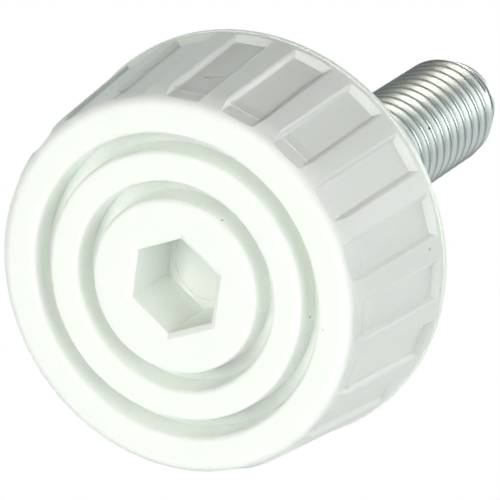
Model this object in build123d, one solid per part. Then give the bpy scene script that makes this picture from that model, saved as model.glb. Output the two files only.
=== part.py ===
from build123d import *
import math
import os

# Adjustable washing machine foot: a moulded plastic foot on a threaded steel stud.
# Millimetres. The foot stands on its base at z = 0 with the stud pointing up along +Z.
# The X axis runs through one corner of the key socket and the middle of one grip flute.

# Foot body
body_height = 11.85
base_diameter = 27.0          # side taper carried down to the base plane
rim_diameter = 29.47          # side taper carried up to the back plane
base_bevel_height = 1.45      # steeper taper between the side and the base
base_bevel_width = 0.54
base_bevel_radius = 4.0       # where the bevel meets the side
base_edge_radius = 0.85       # where the bevel meets the base
rim_lip = 0.08                # thin lip at the back, how far it stands out
rim_lip_height = 0.42
rim_edge_radius = 0.12

# Grip flutes around the side, open at the base and closed by a ramp below the rim
flute_count = 20
flute_width = 2.86
flute_depth = 0.4             # square to the tapered side
flute_wall_draft = 33.0       # degrees from square
flute_corner_radius = 0.15    # where the flute's walls meet its floor
flute_foot = 1.7              # height below which the floor is steeper than the side
flute_foot_draft = 3.0        # degrees, of the floor below that height
land_edge_radius = 0.3        # along the flute's upper edges
rim_band = 0.78               # plain band between the ramps and the back plane
ramp_rise = 0.55              # height of the ramp that closes a flute

# Ring grooves in the base, set in from its edge
outer_ring_width = 2.775      # from the edge of the base to the outer groove
middle_ring_width = 2.08      # between the two grooves
groove_width = 1.25           # at the base plane
groove_depth = 2.0
groove_draft = 4.7            # degrees, on each wall
groove_mouth_radius = 0.3

# Key socket in the middle of the base
key_size = 6.0                # across the flats of the key
key_clearance = 0.06
socket_depth = 5.4
socket_lead_in = 0.38         # how far the mouth opens out on each flat
socket_lead_in_depth = 0.25
core_mark_diameter = 5.5      # shallow round left by the mould core on the socket floor
core_mark_depth = 0.15

# Threaded stud, moulded into the body by its hexagon head
thread_diameter = 8.0
stud_projection = 33.9        # from the back plane to the tip
tip_taper = 2.2               # length of the tapered lead-in at the tip
tip_diameter = 6.46           # flat end of the taper, at the root of the thread
neck_diameter = 7.1           # plain neck below the thread, as thick as the blank it is rolled from
neck_projection = 0.6         # from the back plane to the full thread
head_across_flats = 13.0
head_height = 4.0
head_cover = 1.4              # plastic between the head and the back plane
head_edge_chamfer = 0.5

# Worked out from the sizes above
base_radius = base_diameter / 2
rim_radius = rim_diameter / 2
side_angle = math.degrees(math.atan2(rim_radius - base_radius, body_height))
outer_groove_radius = base_radius - outer_ring_width - groove_width / 2
inner_groove_radius = outer_groove_radius - middle_ring_width - groove_width
socket_across_flats = key_size + key_clearance
head_top = body_height - head_cover
head_bottom = head_top - head_height
thread_start = body_height + neck_projection
stud_tip = body_height + stud_projection


def side_radius(z):
    """Radius of the tapered side at height z, before its edges are rounded."""
    return base_radius + (rim_radius - base_radius) * z / body_height


def corner(points, x, z):
    """The vertex of a section sketch that lies at radius x and height z."""
    return min(points, key=lambda p: math.hypot(p.X - x, p.Y - z))


def body_of_revolution():
    """Tapered body with both ring grooves and every rounded edge in its section."""
    lip_bottom = body_height - rim_lip_height
    lip_radius = side_radius(lip_bottom) + rim_lip
    base_edge = (side_radius(base_bevel_height) - base_bevel_width, 0)
    bevel_top = (side_radius(base_bevel_height), base_bevel_height)
    lip_foot = (side_radius(lip_bottom), lip_bottom)
    lip_start = (lip_radius, lip_bottom)
    lip_end = (lip_radius, body_height)
    outline = [(0, 0), base_edge, bevel_top, lip_foot, lip_start, lip_end, (0, body_height)]
    with BuildPart() as part:
        with BuildSketch(Plane.XZ) as section:
            with BuildLine():
                Polyline(*outline, close=True)
            make_face()
            grooves = [inner_groove_radius, outer_groove_radius]
            for middle in grooves:
                with Locations((middle, groove_depth / 2)):
                    Trapezoid(groove_width, groove_depth, 90 - groove_draft, mode=Mode.SUBTRACT)
            rounds = [
                (*base_edge, base_edge_radius),
                (*bevel_top, base_bevel_radius),
                (*lip_end, rim_edge_radius),
            ]
            for middle in grooves:
                for wall in (middle - groove_width / 2, middle + groove_width / 2):
                    rounds.append((wall, 0, groove_mouth_radius))
            for x, z, radius in rounds:
                fillet(corner(section.vertices(), x, z), radius)
        revolve(axis=Axis.Z)
    return part.part


def flute_section():
    """Cross-section of a flute, square to its floor: drafted walls, rounded at floor and land."""
    half_top = flute_width / 2
    half_floor = half_top - flute_depth * math.tan(math.radians(flute_wall_draft))
    fall = math.asin(half_top / rim_radius)
    edge = -(rim_radius - rim_radius * math.cos(fall))
    reach = 2 * land_edge_radius
    clear = (half_top + reach * math.cos(fall), edge - reach * math.sin(fall))
    right = [(half_floor, -flute_depth), (half_top, edge), clear, (clear[0], rim_radius)]
    left = [(-x, y) for x, y in reversed(right)]
    with BuildSketch() as section:
        with BuildLine():
            Polyline(*right, *left, close=True)
        make_face()
        for side in (-1, 1):
            fillet(corner(section.vertices(), side * half_floor, -flute_depth), flute_corner_radius)
            fillet(corner(section.vertices(), side * half_top, edge), land_edge_radius)
    return section.sketch


def flute_cutter():
    """One flute: its section run along the tapered side, with a steeper foot and a ramp below the rim."""
    lean = math.radians(side_angle)
    inset = flute_depth / math.cos(lean)
    ramp_top = body_height - rim_band
    ramp_foot = ramp_top - ramp_rise
    foot_radius = side_radius(flute_foot) - inset
    start = -base_bevel_height
    below = start - rim_radius
    below_radius = foot_radius - (flute_foot - below) * math.tan(math.radians(flute_foot_draft))
    across = Plane(
        origin=(side_radius(start), 0, start),
        x_dir=(0, -1, 0),
        z_dir=(math.sin(lean), 0, math.cos(lean)),
    )
    with BuildPart() as cutter:
        add(extrude(across * flute_section(), amount=body_height - start))
        with BuildSketch(Plane.XZ):
            with BuildLine():
                Polyline(
                    (below_radius, below),
                    (foot_radius, flute_foot),
                    (0, flute_foot),
                    (0, ramp_foot),
                    (side_radius(ramp_foot) - inset, ramp_foot),
                    (side_radius(ramp_top), ramp_top),
                    (side_radius(ramp_top) + rim_radius, ramp_top + rim_radius * ramp_rise / inset),
                    (side_radius(ramp_top) + rim_radius, below),
                    close=True,
                )
            make_face()
        extrude(amount=flute_width, both=True, mode=Mode.INTERSECT)
    return cutter.part


def key_socket():
    """Hexagonal socket with a lead-in at its mouth and a shallow round on its floor."""
    across_corners = 2 / math.sqrt(3)
    flat_radius = socket_across_flats / 2
    mouth_radius = flat_radius + socket_lead_in
    lead_in_angle = math.degrees(math.atan2(socket_lead_in, socket_lead_in_depth))
    with BuildPart() as socket:
        with BuildSketch():
            RegularPolygon(mouth_radius * across_corners, 6)
        extrude(amount=socket_lead_in_depth, taper=lead_in_angle)
        with BuildSketch():
            RegularPolygon(flat_radius * across_corners, 6)
        extrude(amount=socket_depth)
        with BuildSketch(Plane.XY.offset(socket_depth)):
            Circle(core_mark_diameter / 2)
        extrude(amount=core_mark_depth)
    return socket.part


def threaded_stud():
    """Plain neck, then the thread at its outer diameter with a tapered tip, on a hexagon head."""
    thread_radius = thread_diameter / 2
    neck_radius = neck_diameter / 2
    with BuildPart() as stud:
        with BuildSketch(Plane.XY.offset(head_bottom)):
            RegularPolygon(head_across_flats / math.sqrt(3), 6)
        extrude(amount=head_height)
        chamfer(stud.edges().group_by(Axis.Z)[0], head_edge_chamfer)
        with BuildSketch(Plane.XZ):
            with BuildLine():
                Polyline(
                    (0, head_top),
                    (neck_radius, head_top),
                    (neck_radius, thread_start - (thread_radius - neck_radius)),
                    (thread_radius, thread_start),
                    (thread_radius, stud_tip - tip_taper),
                    (tip_diameter / 2, stud_tip),
                    (0, stud_tip),
                    close=True,
                )
            make_face()
        revolve(axis=Axis.Z)
    return stud.part


def foot_body(stud):
    """The moulded foot, formed round the head and shank of the stud."""
    body = body_of_revolution()
    flute = flute_cutter()
    flutes = [Rot(0, 0, 360 * i / flute_count) * flute for i in range(flute_count)]
    body = body - flutes
    body = body - key_socket()
    return body - stud


def main():
    os.makedirs("parts", exist_ok=True)
    stud = threaded_stud()
    nodes = {"foot_body": foot_body(stud), "threaded_stud": stud}
    for name, solid in nodes.items():
        export_step(solid, f"parts/{name}.step")


main()
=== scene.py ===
import math

import bpy
import bmesh
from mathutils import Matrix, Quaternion, Vector


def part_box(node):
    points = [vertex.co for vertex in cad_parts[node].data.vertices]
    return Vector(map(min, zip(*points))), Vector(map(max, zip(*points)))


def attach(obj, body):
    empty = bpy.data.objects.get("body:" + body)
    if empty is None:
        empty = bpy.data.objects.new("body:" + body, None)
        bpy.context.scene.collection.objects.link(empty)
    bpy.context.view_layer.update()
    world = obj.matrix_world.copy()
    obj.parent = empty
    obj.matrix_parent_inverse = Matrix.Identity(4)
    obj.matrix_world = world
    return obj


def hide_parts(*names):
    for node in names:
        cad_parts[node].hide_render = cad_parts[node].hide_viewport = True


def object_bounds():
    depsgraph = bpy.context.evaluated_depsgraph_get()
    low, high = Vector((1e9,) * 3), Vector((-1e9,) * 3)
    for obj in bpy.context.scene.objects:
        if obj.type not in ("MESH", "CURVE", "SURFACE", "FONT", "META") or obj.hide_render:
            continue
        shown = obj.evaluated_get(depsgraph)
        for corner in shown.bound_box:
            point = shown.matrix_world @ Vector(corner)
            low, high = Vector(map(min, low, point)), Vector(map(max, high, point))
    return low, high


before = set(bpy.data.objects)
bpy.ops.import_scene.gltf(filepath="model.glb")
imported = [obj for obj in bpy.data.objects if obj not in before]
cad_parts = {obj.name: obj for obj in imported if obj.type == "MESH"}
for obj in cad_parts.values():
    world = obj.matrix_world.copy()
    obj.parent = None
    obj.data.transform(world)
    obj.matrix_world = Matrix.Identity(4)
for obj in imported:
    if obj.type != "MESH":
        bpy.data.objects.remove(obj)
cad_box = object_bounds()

MM = 0.001

# Camera, fitted to the photograph
VIEW_POLAR = math.radians(-76.26)        # direction towards the camera, about +Z from +X
VIEW_ELEVATION = math.radians(-57.25)    # the photograph looks up at the base
VIEW_ROLL = math.radians(56.65)
VIEW_DISTANCE = 301.55 * MM
VIEW_AIM = Vector((1.86, -4.46, 3.07)) * MM
LENS = 324.0
SENSOR = 36.0
CLIP_START = 0.01

# Stud, as in the solid, with the thread cut into it
THREAD_RADIUS = 4.0 * MM
PITCH = 1.25 * MM
THREAD_DEPTH = 0.613 * PITCH
CREST_FLAT = PITCH / 8
ROOT_FLAT = PITCH / 4
FLANK_STRAIGHT = 0.6                     # share of the flank that stays straight, the rest is rounded
THREAD_PHASE = 0.08                      # turns
STEPS_PER_TURN = 120
STEPS_PER_PITCH = 20
SPARE_TURNS = 2                          # turns of the grid below the thread, merged into its start
TIP_TAPER = 2.2 * MM
TIP_RADIUS = 3.23 * MM
NECK_RADIUS = 3.55 * MM
NECK_PROJECTION = 0.6 * MM
HEAD_ACROSS_FLATS = 13.0 * MM
HEAD_HEIGHT = 4.0 * MM
HEAD_CHAMFER = 0.5 * MM
SHARP_ANGLE = math.radians(40)
MERGE_DISTANCE = 1e-4 * MM

# Marks of wear that the photograph shows: place and radius in millimetres
PLASTIC_DIRT = (
    ((-0.47, -6.16, 0.5), 0.10),
    ((8.11, -5.11, 1.4), 0.10),
    ((10.12, -10.41, 9.77), 0.10),
    ((9.51, -6.00, 0.0), 0.05),
)
PLASTIC_SCUFF = (
    ((-8.06, -10.89, 4.33), 0.24),
    ((-7.77, -11.13, 4.54), 0.21),
    ((-7.50, -11.37, 4.86), 0.15),
)
STUD_NICK = (
    ((1.44, -3.67, 33.62), 0.15),
)
SCUFF_HEIGHT = 0.4 * MM
MARK_CORE = 0.4                          # share of a mark's radius inside its soft edge
DIRT_COLOUR = (0.09, 0.10, 0.08, 1)

# Step across the floor of each flute, where its steeper foot begins, shown by shading alone
STEP_BOTTOM = 1.64 * MM
STEP_TOP = 1.76 * MM
STEP_END = 2.64 * MM                     # height where the step has faded out again
STEP_HEIGHT = 0.09 * MM
STEP_INSIDE = (12.5 * MM, 12.6 * MM)     # radii over which it comes in, well clear of the grooves
STEP_OUTSIDE = (13.5 * MM, 13.36 * MM)   # radii over which it comes in from the lands

# Surfaces: noise and grain by scale and detail
PLASTIC = {
    "noise": (300.0, 4.0),
    "colours": ((0.868, 0.91, 0.862, 1), (0.898, 0.94, 0.892, 1)),
    "roughness": (0.34, 0.46),
    "grain": (6000.0, 2.0),
    "grain_strength": 0.15,
    "grain_height": 0.01 * MM,
    "dirt": PLASTIC_DIRT,
}
ZINC = {
    "noise": (900.0, 5.0),
    "colours": ((0.64, 0.69, 0.675, 1), (0.75, 0.80, 0.78, 1)),
    "roughness": (0.30, 0.40),
    "grain": (4000.0, 3.0),
    "grain_strength": 0.2,
    "grain_height": 0.02 * MM,
    "dirt": STUD_NICK,
}
PLASTIC_IOR = 1.49
SUBSURFACE_WEIGHT = 0.7
SUBSURFACE_RADIUS = (0.9, 1.0, 0.85)
SUBSURFACE_SCALE = 0.7 * MM

# Soft lights: degrees off the camera's axis, degrees round it from its right, size, watts and colour.
# Fills shape the plastic and stay out of reflections, keys show in the metal.
PLAIN = (0.985, 1.0, 1.0)
COOL = (0.88, 1.0, 1.0)
GREENISH = (0.98, 1.0, 0.93)
CREAM = (1.0, 0.91, 0.78)
FILLS = (
    (28, 180, 0.16, 0.83, PLAIN),
    (35, 0, 0.30, 1.10, PLAIN),
    (82, 231, 0.16, 1.10, PLAIN),
    (130, 135, 0.16, 1.45, COOL),
    (130, 330, 0.30, 1.55, GREENISH),
)
KEYS = (
    (27, 145, 0.12, 0.41, CREAM),
    (20, 277, 0.20, 0.36, PLAIN),
    (60, 270, 0.45, 0.37, PLAIN),
    (115, 20, 0.15, 0.45, PLAIN),
)
SOFTBOX_DISTANCE = 0.5
LIGHT_CENTRE = Vector((0, 0, 20.0)) * MM
OVERHEAD_STRENGTH = 1.5                  # watts a square metre on the floor
OVERHEAD_SPREAD = math.radians(50)

# Room that the metal reflects: brightness straight down, at shares of the way up, and straight up
FLOOR_LEVEL = 0.13
WALL_LEVELS = ((0.34, 0.13), (0.52, 0.50), (0.92, 0.42))
CEILING_LEVEL = 0.95
ROOM_COLOUR = (0.87, 0.95, 0.96, 1)
WHITE = (1, 1, 1, 1)
BLACK = (0, 0, 0, 1)

# Floor
FLOOR_DROP = 0.2 * MM
FLOOR_HALF = 3.0
FLOOR_FADE = (0.08, 0.30)                # distances over which the floor fades into the white backdrop
FLOOR_COLOUR = (0.86, 0.86, 0.85, 1)
FLOOR_ROUGHNESS = 0.7


def new_piece(name, data):
    """An object in the scene with the given mesh, camera or light."""
    piece = bpy.data.objects.new(name, data)
    bpy.context.scene.collection.objects.link(piece)
    return piece


def direction(polar, elevation):
    """Unit vector at an angle about +Z from +X and an angle up from the XY plane."""
    flat = math.cos(elevation)
    return Vector((flat * math.cos(polar), flat * math.sin(polar), math.sin(elevation)))


def add_node(tree, kind, inputs):
    """A shader node whose inputs are linked to other nodes' sockets or set to plain values."""
    node = tree.nodes.new("ShaderNode" + kind)
    for key, value in inputs.items():
        if isinstance(value, bpy.types.NodeSocket):
            tree.links.new(value, node.inputs[key])
        else:
            node.inputs[key].default_value = value
    return node


def add_math(tree, operation, first, second):
    """The result of an operation on two numbers."""
    node = add_node(tree, "Math", {0: first, 1: second})
    node.operation = operation
    return node.outputs["Value"]


def add_vector_math(tree, operation, *vectors):
    """A node for an operation on vectors, whose result is a vector or a number."""
    node = add_node(tree, "VectorMath", dict(enumerate(vectors)))
    node.operation = operation
    return node


def add_range(tree, value, start, stop, shape="LINEAR"):
    """Nought to one from the first limit to the second, which may be the smaller one."""
    node = add_node(tree, "MapRange", {"Value": value, "From Min": start, "From Max": stop})
    node.interpolation_type = shape
    return node.outputs["Result"]


def add_noise(tree, coords, scale, detail):
    """Grey noise."""
    node = add_node(tree, "TexNoise", {"Vector": coords, "Scale": scale, "Detail": detail})
    return node.outputs["Fac"]


def add_bump(tree, height, strength, distance):
    """A bump on the material's shader, on top of the bumps that it already has."""
    normal = tree.nodes["Principled BSDF"].inputs["Normal"]
    bump = add_node(tree, "Bump", {"Height": height, "Strength": strength, "Distance": distance})
    if normal.is_linked:
        tree.links.new(normal.links[0].from_socket, bump.inputs["Normal"])
    tree.links.new(bump.outputs["Normal"], normal)


def mix_shaders(tree, share, first, second):
    """The first shader where the share is nought and the second where it is one."""
    node = add_node(tree, "MixShader", {"Fac": share, 1: first, 2: second})
    return node.outputs["Shader"]


def object_coords(tree):
    """Place on the piece in its own metres."""
    return add_node(tree, "TexCoord", {}).outputs["Object"]


def round_mark(tree, coords, place, radius):
    """One inside a small round mark and nought outside it, with a soft edge."""
    away = add_vector_math(tree, "DISTANCE", coords, Vector(place) * MM).outputs["Value"]
    return add_range(tree, away, radius * MM, MARK_CORE * radius * MM, "SMOOTHSTEP")


def mark_mask(tree, coords, marks):
    """One where any of a few marks lies and nought elsewhere."""
    masks = [round_mark(tree, coords, place, radius) for place, radius in marks]
    total = masks[0]
    for mask in masks[1:]:
        total = add_math(tree, "MAXIMUM", total, mask)
    return total


def soiled(tree, colour, mask):
    """A colour with dirt where the mask is one. The node's sockets share names, so they go by number."""
    mix = add_node(tree, "Mix", {0: mask, 6: colour, 7: DIRT_COLOUR})
    mix.data_type = "RGBA"
    return mix.outputs[2]


def flute_step(tree, coords):
    """Height of the step on the flutes' floors: it rises sharply, fades upwards and spares the lands."""
    height = add_node(tree, "SeparateXYZ", {"Vector": coords}).outputs["Z"]
    flat = add_vector_math(tree, "MULTIPLY", coords, (1, 1, 0)).outputs["Vector"]
    radius = add_vector_math(tree, "LENGTH", flat).outputs["Value"]
    rise = add_range(tree, height, STEP_BOTTOM, STEP_TOP)
    fade = add_range(tree, height, STEP_END, STEP_TOP)
    step = add_math(tree, "MINIMUM", rise, fade)
    for limits in (STEP_OUTSIDE, STEP_INSIDE):
        step = add_math(tree, "MULTIPLY", step, add_range(tree, radius, *limits))
    return step


def textured_material(name, look):
    """Noise in the colour and the roughness, marks of dirt, and a fine grain."""
    material = bpy.data.materials.new(name)
    material.use_nodes = True
    tree = material.node_tree
    shader = tree.nodes["Principled BSDF"]
    coords = object_coords(tree)
    noise = add_noise(tree, coords, *look["noise"])
    ramp = add_node(tree, "ValToRGB", {"Fac": noise})
    for stop, colour in zip(ramp.color_ramp.elements, look["colours"]):
        stop.color = colour
    dirty = soiled(tree, ramp.outputs["Color"], mark_mask(tree, coords, look["dirt"]))
    tree.links.new(dirty, shader.inputs["Base Color"])
    low, high = look["roughness"]
    sheen = add_node(tree, "MapRange", {"Value": noise, "To Min": low, "To Max": high})
    tree.links.new(sheen.outputs["Result"], shader.inputs["Roughness"])
    grain = add_noise(tree, coords, *look["grain"])
    add_bump(tree, grain, look["grain_strength"], look["grain_height"])
    return material


def plastic_material():
    """White plastic that light enters a little, with the scuff and the step in the flutes."""
    material = textured_material("moulded_plastic", PLASTIC)
    tree = material.node_tree
    coords = object_coords(tree)
    add_bump(tree, mark_mask(tree, coords, PLASTIC_SCUFF), 1.0, SCUFF_HEIGHT)
    add_bump(tree, flute_step(tree, coords), 1.0, STEP_HEIGHT)
    shader = tree.nodes["Principled BSDF"]
    shader.inputs["IOR"].default_value = PLASTIC_IOR
    shader.inputs["Subsurface Weight"].default_value = SUBSURFACE_WEIGHT
    shader.inputs["Subsurface Radius"].default_value = SUBSURFACE_RADIUS
    shader.inputs["Subsurface Scale"].default_value = SUBSURFACE_SCALE
    return material


def zinc_material():
    """Bright zinc plate."""
    material = textured_material("zinc_plate", ZINC)
    shader = material.node_tree.nodes["Principled BSDF"]
    shader.inputs["Metallic"].default_value = 1.0
    return material


def floor_material():
    """Pale floor that fades into the backdrop far out and can be seen through from below."""
    material = bpy.data.materials.new("pale_floor")
    material.use_nodes = True
    tree = material.node_tree
    shader = tree.nodes["Principled BSDF"]
    shader.inputs["Base Color"].default_value = FLOOR_COLOUR
    shader.inputs["Roughness"].default_value = FLOOR_ROUGHNESS
    geometry = add_node(tree, "NewGeometry", {})
    away = add_vector_math(tree, "LENGTH", geometry.outputs["Position"]).outputs["Value"]
    far = add_range(tree, away, *FLOOR_FADE, "SMOOTHSTEP")
    white = add_node(tree, "Emission", {"Color": WHITE}).outputs["Emission"]
    clear = add_node(tree, "BsdfTransparent", {}).outputs["BSDF"]
    above = mix_shaders(tree, far, shader.outputs["BSDF"], white)
    surface = mix_shaders(tree, geometry.outputs["Backfacing"], above, clear)
    tree.links.new(surface, tree.nodes["Material Output"].inputs["Surface"])
    return material


def thread_radius(share, depth):
    """Radius of the thread at a share of one pitch, with the crest in the middle."""
    away = abs(share - 0.5) * PITCH
    flank = (PITCH - CREST_FLAT - ROOT_FLAT) / 2
    fall = min(max((away - CREST_FLAT / 2) / flank, 0.0), 1.0)
    eased = fall * fall * (3 - 2 * fall)
    return THREAD_RADIUS - depth * (FLANK_STRAIGHT * fall + (1 - FLANK_STRAIGHT) * eased)


def shank_radius(z, share, neck_top, tip):
    """Thread that grows out of the neck and runs out on the taper at the tip."""
    grown = min(max((z - neck_top) / PITCH, 0.0), 1.0)
    radius = thread_radius(share, THREAD_DEPTH * grown)
    taper = TIP_RADIUS + (THREAD_RADIUS - TIP_RADIUS) * (tip - z) / TIP_TAPER
    return min(radius, NECK_RADIUS + (z - neck_top), taper)


def ring(bm, radius, z, count):
    """A ring of vertices, the first one on +X."""
    turn = 2 * math.pi / count
    angles = [turn * i for i in range(count)]
    return [bm.verts.new((radius * math.cos(a), radius * math.sin(a), z)) for a in angles]


def bridge(bm, lower, upper):
    """A band of faces between two rings of the same length."""
    for i in range(len(lower)):
        k = (i + 1) % len(lower)
        bm.faces.new((lower[i], lower[k], upper[k], upper[i]))


def add_head(bm, bottom, top):
    """Hexagon head, chamfered at its free end."""
    corner = HEAD_ACROSS_FLATS / math.sqrt(3)
    inset = corner - HEAD_CHAMFER * 2 / math.sqrt(3)
    levels = ((inset, bottom), (corner, bottom + HEAD_CHAMFER), (corner, top))
    rings = [ring(bm, radius, z, 6) for radius, z in levels]
    bridge(bm, rings[0], rings[1])
    bridge(bm, rings[1], rings[2])
    bm.faces.new(reversed(rings[0]))
    bm.faces.new(rings[2])


def add_shank(bm, bottom, neck_top, tip):
    """Neck, thread on a grid that climbs one pitch a turn, and a flat tip."""
    turns = math.ceil((tip - neck_top) / PITCH) + SPARE_TURNS
    rows = turns * STEPS_PER_PITCH
    columns = []
    for i in range(STEPS_PER_TURN):
        angle = 2 * math.pi * i / STEPS_PER_TURN
        column = []
        for j in range(rows + 1):
            climb = j / STEPS_PER_PITCH + i / STEPS_PER_TURN + THREAD_PHASE - SPARE_TURNS
            z = min(max(neck_top + PITCH * climb, neck_top), tip)
            radius = shank_radius(z, j / STEPS_PER_PITCH % 1.0, neck_top, tip)
            column.append(bm.verts.new((radius * math.cos(angle), radius * math.sin(angle), z)))
        columns.append(column)
    for i in range(STEPS_PER_TURN):
        here = columns[i]
        there = columns[(i + 1) % STEPS_PER_TURN]
        climb = STEPS_PER_PITCH if i + 1 == STEPS_PER_TURN else 0
        for j in range(rows - climb):
            k = j + climb
            bm.faces.new((here[j], there[k], there[k + 1], here[j + 1]))
    bridge(bm, ring(bm, NECK_RADIUS, bottom, STEPS_PER_TURN), [column[0] for column in columns])
    bm.faces.new([column[-1] for column in columns])


def stud_mesh():
    """The stud in the place of its solid, smooth but for its sharp edges."""
    low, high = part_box("threaded_stud")
    head_top = low.z + HEAD_HEIGHT
    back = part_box("foot_body")[1].z
    neck_top = back + NECK_PROJECTION - (THREAD_RADIUS - NECK_RADIUS)
    bm = bmesh.new()
    add_shank(bm, head_top, neck_top, high.z)
    bmesh.ops.remove_doubles(bm, verts=bm.verts, dist=MERGE_DISTANCE)
    add_head(bm, low.z, head_top)
    for edge in bm.edges:
        edge.smooth = edge.calc_face_angle(0.0) < SHARP_ANGLE
    mesh = bpy.data.meshes.new("stud_thread")
    bm.to_mesh(mesh)
    bm.free()
    for polygon in mesh.polygons:
        polygon.use_smooth = True
    return mesh


def add_floor():
    """Floor just below the foot, which shows shadows but throws no light or shadow on the part."""
    mesh = bpy.data.meshes.new("floor")
    z = cad_box[0][2] - FLOOR_DROP
    signs = ((-1, -1), (1, -1), (1, 1), (-1, 1))
    corners = [(x * FLOOR_HALF, y * FLOOR_HALF, z) for x, y in signs]
    mesh.from_pydata(corners, [], [(0, 1, 2, 3)])
    mesh.materials.append(floor_material())
    floor = new_piece("floor", mesh)
    floor.visible_diffuse = False
    floor.visible_glossy = False
    floor.visible_transmission = False
    floor.visible_shadow = False


def add_camera():
    """Camera at the photograph's angle."""
    data = bpy.data.cameras.new("camera")
    data.lens = LENS
    data.sensor_width = SENSOR
    data.clip_start = CLIP_START
    camera = new_piece("camera", data)
    toward = direction(VIEW_POLAR, VIEW_ELEVATION)
    camera.location = VIEW_AIM + toward * VIEW_DISTANCE
    camera.rotation_mode = "QUATERNION"
    camera.rotation_quaternion = toward.to_track_quat("Z", "Y") @ Quaternion((0, 0, 1), VIEW_ROLL)
    bpy.context.scene.camera = camera
    return camera


def add_softbox(camera, off_axis, turn, size, watts, colour, reflected):
    """A round soft light aimed at the foot, placed by its angle off the camera's axis and round it."""
    data = bpy.data.lights.new("softbox", "AREA")
    data.shape = "DISK"
    data.size = size
    data.energy = watts
    data.color = colour
    light = new_piece("softbox", data)
    toward = camera.rotation_quaternion @ direction(math.radians(turn), math.radians(90 - off_axis))
    light.location = LIGHT_CENTRE + toward * SOFTBOX_DISTANCE
    light.rotation_mode = "QUATERNION"
    light.rotation_quaternion = toward.to_track_quat("Z", "Y")
    light.visible_camera = False
    light.visible_glossy = reflected


def add_overhead():
    """Broad light straight from above, for the floor and the back of the foot."""
    data = bpy.data.lights.new("overhead", "SUN")
    data.energy = OVERHEAD_STRENGTH
    data.angle = OVERHEAD_SPREAD
    light = new_piece("overhead", data)
    light.visible_glossy = False


def add_world():
    """White behind the part for the camera, and a dim grey room in what it reflects."""
    world = bpy.data.worlds.new("studio")
    world.use_nodes = True
    bpy.context.scene.world = world
    tree = world.node_tree
    coords = add_node(tree, "TexCoord", {}).outputs["Generated"]
    height = add_node(tree, "SeparateXYZ", {"Vector": coords}).outputs["Z"]
    levels = add_node(tree, "ValToRGB", {"Fac": add_range(tree, height, -1.0, 1.0)})
    stops = levels.color_ramp.elements
    stops[0].color = (FLOOR_LEVEL, FLOOR_LEVEL, FLOOR_LEVEL, 1)
    stops[1].color = (CEILING_LEVEL, CEILING_LEVEL, CEILING_LEVEL, 1)
    for place, level in WALL_LEVELS:
        stops.new(place).color = (level, level, level, 1)
    background = tree.nodes["Background"]
    background.inputs["Color"].default_value = ROOM_COLOUR
    tree.links.new(levels.outputs["Color"], background.inputs["Strength"])
    room = background.outputs["Background"]
    backdrop = add_node(tree, "Background", {"Color": WHITE}).outputs["Background"]
    unlit = add_node(tree, "Background", {"Color": BLACK}).outputs["Background"]
    rays = add_node(tree, "LightPath", {}).outputs
    reflected = mix_shaders(tree, rays["Is Glossy Ray"], unlit, room)
    surface = mix_shaders(tree, rays["Is Camera Ray"], reflected, backdrop)
    tree.links.new(surface, tree.nodes["World Output"].inputs["Surface"])


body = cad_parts["foot_body"]
body.data.materials.clear()
body.data.materials.append(plastic_material())

stud = new_piece("stud_thread", stud_mesh())
stud.data.materials.append(zinc_material())
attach(stud, "root")
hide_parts("threaded_stud")

add_floor()
camera = add_camera()
for fill in FILLS:
    add_softbox(camera, *fill, False)
for key in KEYS:
    add_softbox(camera, *key, True)
add_overhead()
add_world()
bpy.context.scene.view_settings.view_transform = "Standard"
